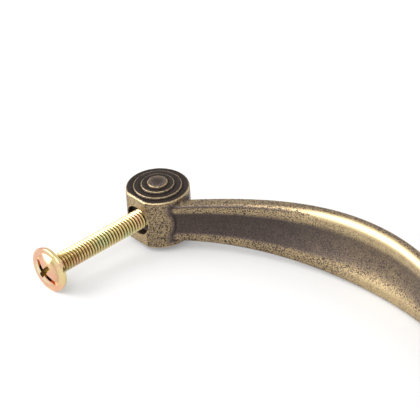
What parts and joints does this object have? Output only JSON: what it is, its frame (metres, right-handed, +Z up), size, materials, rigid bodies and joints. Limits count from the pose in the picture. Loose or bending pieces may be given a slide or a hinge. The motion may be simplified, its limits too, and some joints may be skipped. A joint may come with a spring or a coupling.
{
  "type": "cabinet handle",
  "caption": "Antique brass bow pull with a fluted, widening grip on round feet with ringed ends, held by slotted cross-recess machine screws driven through the door.",
  "frame": {"origin": "midway between the two screw axes, on the plane of the seats that lie on the door", "axes": "+X along the hole spacing, +Y into the door towards the screw heads, +Z up along the axes of the round feet"},
  "size_m": [0.1086, 0.0501, 0.016],
  "materials": {
    "antique_brass": "antique brass plating on a zinc die casting: dark patina in the hollows, rubbed back to brass on the edges",
    "yellow_zinc": "steel with yellow chromate zinc plating, glossy with faint pink and green tints"
  },
  "bodies": {
    "pull": {"bow_pull": "antique_brass"},
    "left_screw": {"left_screw": "yellow_zinc"},
    "right_screw": {"right_screw": "yellow_zinc"}
  },
  "joints": [
    {"name": "left_screw_drive", "type": "slide", "parent": "pull", "child": "left_screw", "axis": [0, 1, 0], "range_m": [-0.0022, 0.0042]},
    {"name": "right_screw_drive", "type": "slide", "parent": "pull", "child": "right_screw", "axis": [0, 1, 0], "range_m": [-0.0022, 0.0042]}
  ]
}
